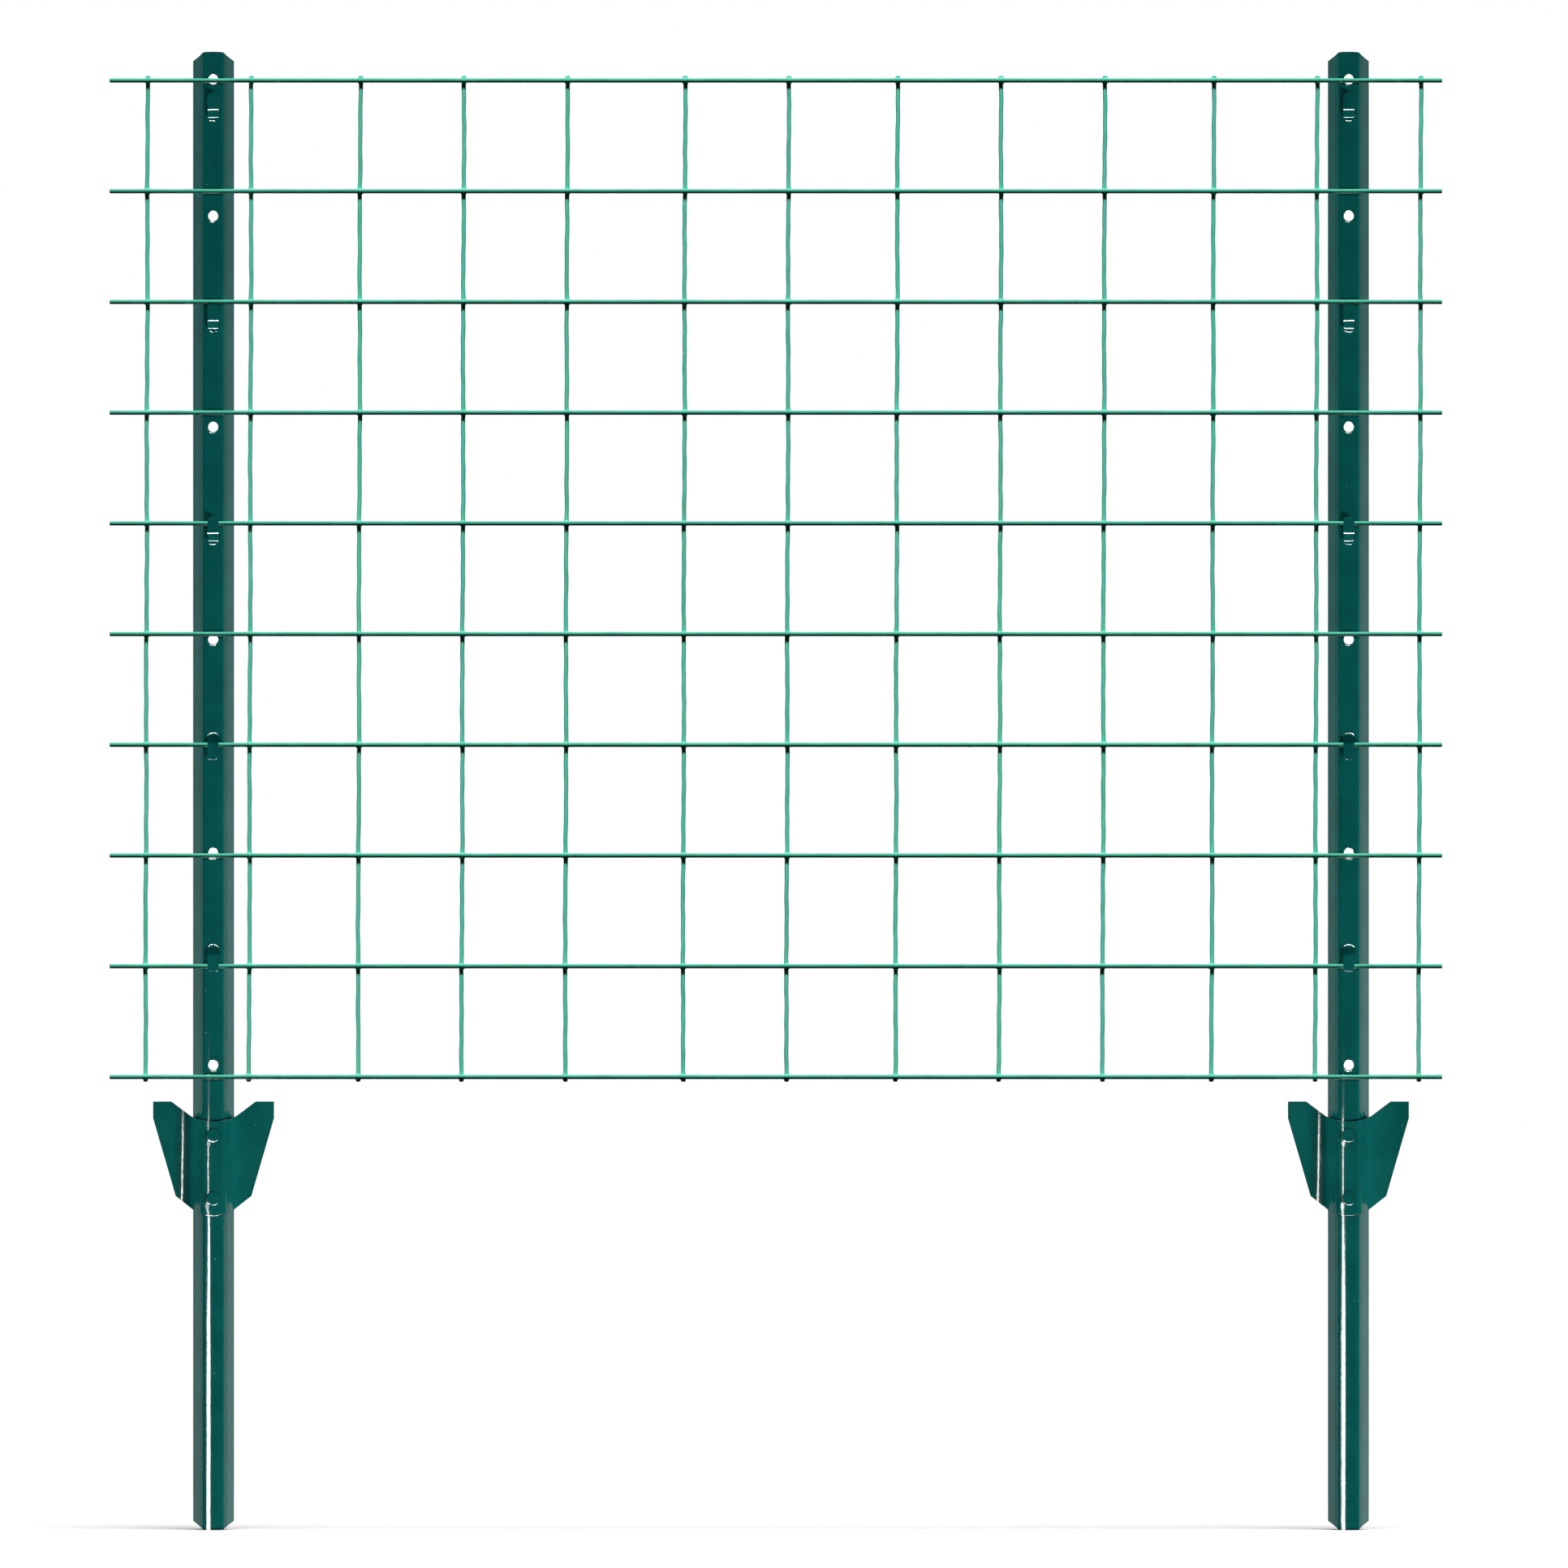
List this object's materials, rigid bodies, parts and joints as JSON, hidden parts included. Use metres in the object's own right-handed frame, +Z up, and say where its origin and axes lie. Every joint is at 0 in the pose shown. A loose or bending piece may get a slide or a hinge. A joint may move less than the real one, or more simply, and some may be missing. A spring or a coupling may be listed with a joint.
{
  "type": "wire mesh fence section with hooked posts",
  "caption": "Garden and small-stock fence section: driven steel U-posts with hook tabs and anchor plates, holding a coated welded wire mesh panel.",
  "frame": {"origin": "on the ground line, midway between the two posts, in the plane of their front faces", "axes": "+X along the fence to the right as seen from the mesh side, -Y towards the viewer on the mesh side, +Z up"},
  "size_m": [1.0989, 0.0262, 1.2193],
  "materials": {
    "post_enamel": "dark blue-green gloss enamel over rolled steel, with a fine orange peel and specks of dust",
    "plate_enamel": "the same gloss enamel, dipped after riveting, thin and worn pale along the sheared edges",
    "rivet_enamel": "the same gloss enamel over a set steel rivet",
    "line_wire_coat": "light mint-green vinyl coat, smooth and half gloss, with drawn lines along the wire",
    "stay_wire_coat": "the same light mint-green vinyl coat, gathered into small fillets at the welds"
  },
  "bodies": {
    "root": {"anchor_plate_left": "plate_enamel", "anchor_plate_right": "plate_enamel", "line_wire_01": "line_wire_coat", "line_wire_02": "line_wire_coat", "line_wire_03": "line_wire_coat", "line_wire_04": "line_wire_coat", "line_wire_05": "line_wire_coat", "line_wire_06": "line_wire_coat", "line_wire_07": "line_wire_coat", "line_wire_08": "line_wire_coat", "line_wire_09": "line_wire_coat", "line_wire_10": "line_wire_coat", "post_left": "post_enamel", "post_right": "post_enamel", "rivet_lower_left": "rivet_enamel", "rivet_lower_right": "rivet_enamel", "rivet_upper_left": "rivet_enamel", "rivet_upper_right": "rivet_enamel", "stay_wire_01": "stay_wire_coat", "stay_wire_02": "stay_wire_coat", "stay_wire_03": "stay_wire_coat", "stay_wire_04": "stay_wire_coat", "stay_wire_05": "stay_wire_coat", "stay_wire_06": "stay_wire_coat", "stay_wire_07": "stay_wire_coat", "stay_wire_08": "stay_wire_coat", "stay_wire_09": "stay_wire_coat", "stay_wire_10": "stay_wire_coat", "stay_wire_11": "stay_wire_coat", "stay_wire_12": "stay_wire_coat", "stay_wire_13": "stay_wire_coat"}
  },
  "joints": []
}
